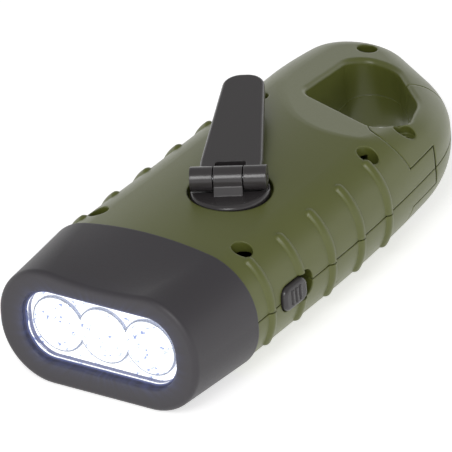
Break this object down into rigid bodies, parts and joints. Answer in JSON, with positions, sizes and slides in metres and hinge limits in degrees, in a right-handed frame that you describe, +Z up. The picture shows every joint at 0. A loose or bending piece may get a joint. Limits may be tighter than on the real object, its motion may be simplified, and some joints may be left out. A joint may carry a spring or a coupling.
{
  "type": "hand crank flashlight",
  "caption": "Hand crank flashlight with a folding lever on a turning disc, lamps behind a window in a black head cap, ribbed sides, a side switch and a carabiner ring with a sprung gate.",
  "frame": {"origin": "middle of the flat resting face under the belly", "axes": "+Y along the body from the lamp end to the carabiner ring, +Z up through the crank, +X towards the side switch and the gate"},
  "size_m": [0.0569, 0.1348, 0.0362],
  "materials": {
    "green_plastic": "fine satin moulding",
    "black_plastic": "satin moulding",
    "clear_plastic": "clear polished",
    "bright_reflector": "vacuum metallised",
    "led_epoxy": "clear epoxy",
    "board": "green solder mask",
    "battery_wrap": "shrink sleeve",
    "switch_plastic": "moulded",
    "steel": "bright zinc plated",
    "laminated_steel": "varnished laminations",
    "copper_wire": "enamelled winding",
    "inner_plastic": "moulded",
    "gear_nylon": "natural nylon",
    "magnet": "sintered ferrite"
  },
  "bodies": {
    "housing": {"upper_shell": "green_plastic", "lower_shell": "green_plastic", "head_cap": "black_plastic", "lens": "clear_plastic", "reflector": "bright_reflector", "leds": "led_epoxy", "led_board": "board", "main_board": "board", "battery": "battery_wrap", "switch_body": "switch_plastic", "gate_pin": "steel", "idler_axle": "steel", "rotor_axle": "steel", "stator_core": "laminated_steel", "stator_coil": "copper_wire", "gear_plate": "inner_plastic", "shell_screws": "steel"},
    "slider": {"slide_button": "black_plastic"},
    "gate": {"gate_upper": "green_plastic", "gate_lower": "green_plastic"},
    "crank": {"crank_disc": "black_plastic", "crank_gear": "gear_nylon", "crank_screw": "steel", "hinge_pin": "steel"},
    "lever": {"crank_lever": "black_plastic", "knob_rivet": "steel"},
    "knob": {"crank_knob": "black_plastic"},
    "idler": {"idler_gear": "gear_nylon"},
    "rotor": {"rotor_pinion": "gear_nylon", "rotor_magnet": "magnet"}
  },
  "joints": [
    {"name": "crank_spin", "type": "hinge", "parent": "housing", "child": "crank", "pos_m": [0.004, -0.0048, 0.027], "axis": [0, 0, 1], "continuous": true},
    {"name": "idler_spin", "type": "hinge", "parent": "housing", "child": "idler", "pos_m": [-0.00276, 0.0097, 0.02], "axis": [0, 0, 1], "continuous": true},
    {"name": "rotor_spin", "type": "hinge", "parent": "housing", "child": "rotor", "pos_m": [0.00993, 0.01562, 0.012], "axis": [0, 0, 1], "continuous": true},
    {"name": "lever_fold", "type": "hinge", "parent": "crank", "child": "lever", "pos_m": [0.004, -0.0048, 0.0319], "axis": [0.8771, 0.4802, 0], "range_deg": [0, 167]},
    {"name": "knob_spin", "type": "hinge", "parent": "lever", "child": "knob", "pos_m": [-0.01342, 0.02701, 0.03156], "axis": [0.0419, -0.0764, 0.9962], "continuous": true},
    {"name": "gate_open", "type": "hinge", "parent": "housing", "child": "gate", "pos_m": [0.0196, 0.0412, 0.014], "axis": [0, 0, 1], "range_deg": [0, 28], "stiffness_Nm_per_rad": 0.03, "springref_deg": -22.92},
    {"name": "switch_slide", "type": "slide", "parent": "housing", "child": "slider", "axis": [0, 1, 0], "range_m": [0, 0.003]}
  ],
  "couplings": [
    {"joint": "idler_spin", "follows": "crank_spin", "ratio": -3},
    {"joint": "rotor_spin", "follows": "crank_spin", "ratio": 7.5}
  ]
}
